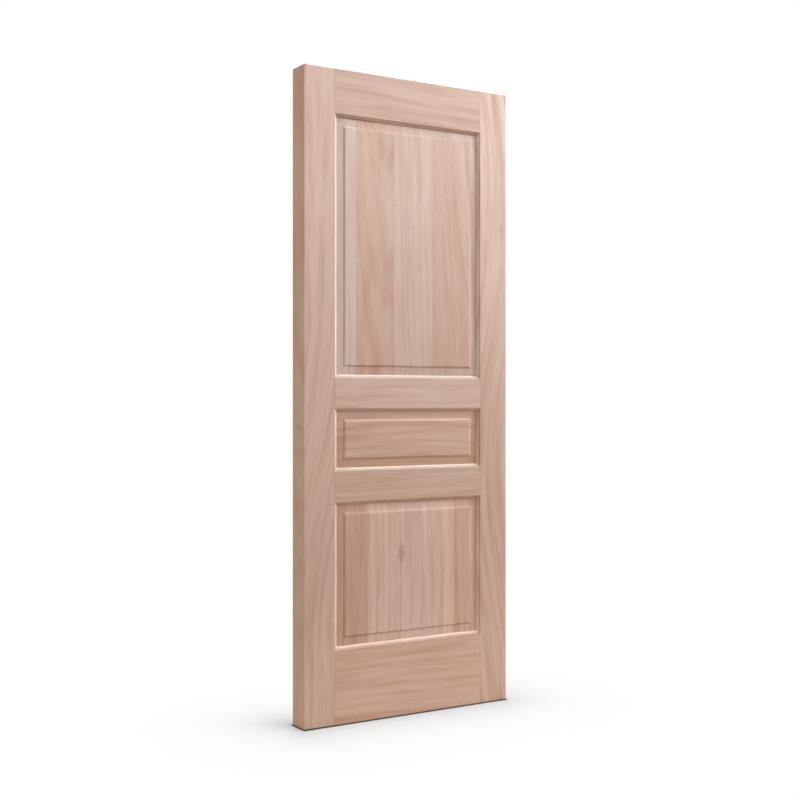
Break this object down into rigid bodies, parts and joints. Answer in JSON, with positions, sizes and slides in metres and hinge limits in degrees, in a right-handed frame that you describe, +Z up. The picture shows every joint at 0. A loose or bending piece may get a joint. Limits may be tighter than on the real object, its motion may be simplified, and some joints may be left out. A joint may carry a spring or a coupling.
{
  "type": "door slab",
  "caption": "Thick stile-and-rail door slab of unfinished pale wood, with raised fielded panels, moulded inner edges, a tall bottom rail and plain edges, ready to be hung.",
  "frame": {"origin": "centre of the bottom edge, on the floor", "axes": "+Z up, +X to the right of someone facing the front, +Y from the front face to the back face"},
  "size_m": [0.762, 0.078, 2.032],
  "materials": {
    "stile_wood": "unfinished, planed and sanded",
    "rail_wood": "unfinished, planed and sanded",
    "panel_wood": "unfinished, planed and sanded"
  },
  "bodies": {
    "root": {"left_stile": "stile_wood", "right_stile": "stile_wood", "top_rail": "rail_wood", "upper_cross_rail": "rail_wood", "lower_cross_rail": "rail_wood", "bottom_rail": "rail_wood", "upper_panel_stave_1": "panel_wood", "upper_panel_stave_2": "panel_wood", "upper_panel_stave_3": "panel_wood", "upper_panel_stave_4": "panel_wood", "middle_panel": "panel_wood", "lower_panel_stave_1": "panel_wood", "lower_panel_stave_2": "panel_wood", "lower_panel_stave_3": "panel_wood", "lower_panel_stave_4": "panel_wood", "lower_panel_stave_5": "panel_wood"}
  },
  "joints": []
}
